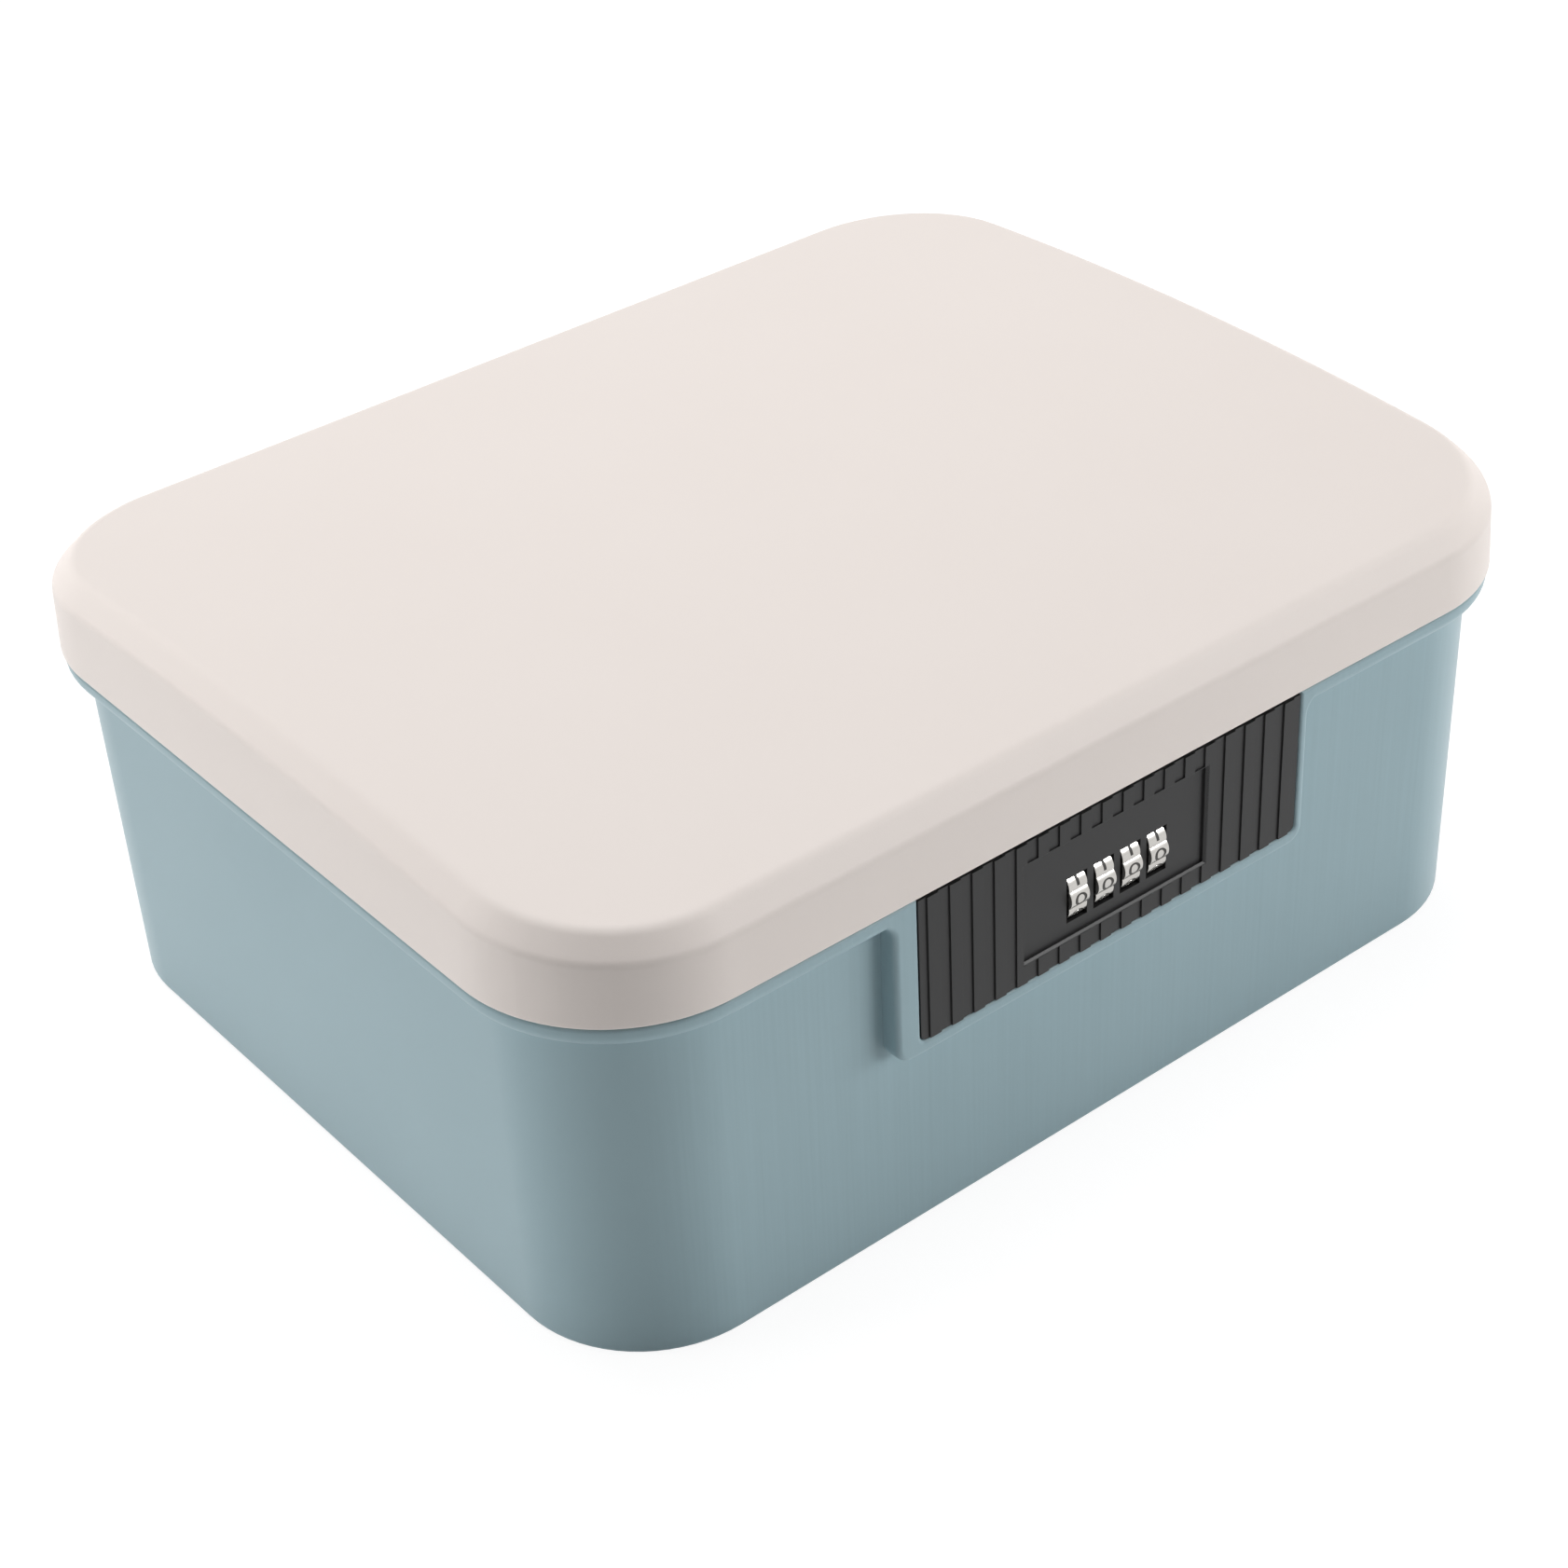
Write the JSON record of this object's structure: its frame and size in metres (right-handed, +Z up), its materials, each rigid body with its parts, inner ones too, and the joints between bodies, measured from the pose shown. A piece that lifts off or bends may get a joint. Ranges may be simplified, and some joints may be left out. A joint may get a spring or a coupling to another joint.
{
  "type": "lockable storage box",
  "caption": "Low rectangular storage box with rounded corners, a crowned lid hinged at the back, and a number-wheel combination lock in a ribbed front panel",
  "frame": {"origin": "middle of the box's footprint between its side walls and between its front and back flanges, on the surface that the box stands on", "axes": "+X runs to the right along the front, +Y from the lock at the front to the hinges at the back, +Z up"},
  "size_m": [0.3016, 0.2514, 0.1254],
  "materials": {
    "cream_plastic": "fine matte moulded texture",
    "blue_grey_plastic": "matte, with fine vertical streaks on the front wall",
    "black_plastic": "fine matte moulded texture",
    "dark_plastic": "smooth, slightly glossy",
    "satin_nickel": "satin nickel plate, numbers cut in and filled black",
    "plain_steel": "zinc-plated steel",
    "dark_rubber": "matte rubber"
  },
  "bodies": {
    "base": {"body_shell": "blue_grey_plastic", "base_pads": "dark_rubber", "hinge_pin_left": "plain_steel", "hinge_pin_right": "plain_steel", "lock_panel": "black_plastic", "lock_housing": "black_plastic", "lock_cover": "black_plastic", "panel_screws": "plain_steel", "cover_screws": "plain_steel", "sleeve_spring": "plain_steel", "end_bush": "black_plastic", "detent_spring": "plain_steel"},
    "lid": {"lid_shell": "cream_plastic", "lid_catch": "plain_steel", "catch_screws": "plain_steel"},
    "wheel_1": {"number_wheel_1": "satin_nickel", "code_sleeve_1": "plain_steel"},
    "wheel_2": {"number_wheel_2": "satin_nickel", "code_sleeve_2": "plain_steel"},
    "wheel_3": {"number_wheel_3": "satin_nickel", "code_sleeve_3": "plain_steel"},
    "wheel_4": {"number_wheel_4": "satin_nickel", "code_sleeve_4": "plain_steel"},
    "reset": {"lock_shaft": "plain_steel", "shaft_clip": "plain_steel", "reset_slider": "dark_plastic"}
  },
  "joints": [
    {"name": "lid_hinge", "type": "hinge", "parent": "base", "child": "lid", "pos_m": [0, 0.1256, 0.0943], "axis": [-1, 0, 0], "range_deg": [0, 105]},
    {"name": "wheel_1_turn", "type": "hinge", "parent": "base", "child": "wheel_1", "pos_m": [-0.0115, -0.1134, 0.07455], "axis": [1, 0, 0], "continuous": true},
    {"name": "wheel_2_turn", "type": "hinge", "parent": "base", "child": "wheel_2", "pos_m": [-0.0031, -0.1134, 0.07455], "axis": [1, 0, 0], "continuous": true},
    {"name": "wheel_3_turn", "type": "hinge", "parent": "base", "child": "wheel_3", "pos_m": [0.0053, -0.1134, 0.07455], "axis": [1, 0, 0], "continuous": true},
    {"name": "wheel_4_turn", "type": "hinge", "parent": "base", "child": "wheel_4", "pos_m": [0.0137, -0.1134, 0.07455], "axis": [1, 0, 0], "continuous": true},
    {"name": "reset_slide", "type": "slide", "parent": "base", "child": "reset", "axis": [1, 0, 0], "range_m": [0, 0.002]}
  ]
}
